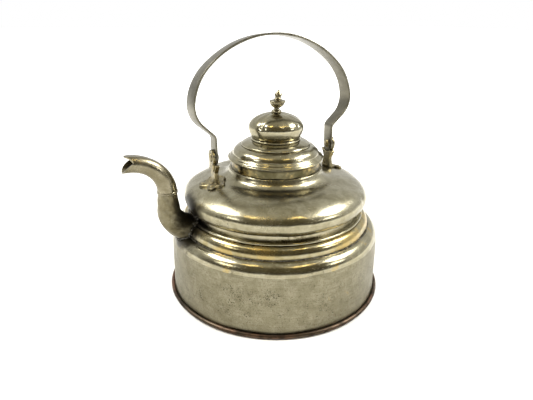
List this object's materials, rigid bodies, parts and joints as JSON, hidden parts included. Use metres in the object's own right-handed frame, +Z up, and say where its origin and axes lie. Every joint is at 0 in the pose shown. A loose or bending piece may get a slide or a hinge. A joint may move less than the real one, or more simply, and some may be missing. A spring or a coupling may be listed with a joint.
{
  "type": "kettle",
  "caption": "Stove kettle: drum base, round upper bulb, curved spout, swinging strap handle and lift-off domed lid with a turned finial.",
  "frame": {"origin": "centre of the flat bottom, on the kettle's upright axis", "axes": "+Z up along the kettle's axis, spout towards -X, handle pins along X"},
  "size_m": [0.2572, 0.22, 0.2502],
  "materials": {
    "copper": "worn and reddened",
    "worn_tin": "satin, pitted",
    "bright_tin": "rubbed bright over satin",
    "yellow_tin": "worn through to yellow metal",
    "dark_tin": "smoked brown",
    "dull_brass": "dull and dark in the hollows",
    "solder": "rough grey solder",
    "dark_cast": "dark casting",
    "strap_tin": "satin, dark inside"
  },
  "bodies": {
    "kettle": {"bottom_pan": "copper", "foot_roll": "copper", "drum_wall": "worn_tin", "shoulder_cover": "bright_tin", "waist_ring": "yellow_tin", "waist_bead": "bright_tin", "neck_band": "dark_tin", "bulb_shell": "bright_tin", "collar_band": "bright_tin", "spout_elbow": "dark_tin", "spout_seam_ring": "yellow_tin", "spout_neck": "yellow_tin", "spout_solder": "solder", "ear_spout_side": "dark_cast", "ear_far_side": "dark_cast", "rivets_spout_side": "dark_cast", "rivets_far_side": "dark_cast", "pin_spout_side": "dull_brass", "pin_far_side": "dull_brass", "rove_spout_side": "dark_cast", "rove_far_side": "dark_cast"},
    "lid": {"lid_rim": "bright_tin", "lid_skirt": "worn_tin", "lid_cushion": "bright_tin", "lid_disc": "bright_tin", "dome_bead": "bright_tin", "lid_dome": "bright_tin", "finial": "dull_brass", "finial_washer": "dull_brass", "finial_nut": "dull_brass"},
    "bail": {"bail_strap": "strap_tin"}
  },
  "joints": [
    {"name": "bail_swing", "type": "hinge", "parent": "kettle", "child": "bail", "pos_m": [0, 0, 0.14206], "axis": [1, 0, 0], "range_deg": [-70, 78]},
    {"name": "lid_lift", "type": "slide", "parent": "kettle", "child": "lid", "axis": [0, 0, 1], "range_m": [0, 0.038]}
  ]
}
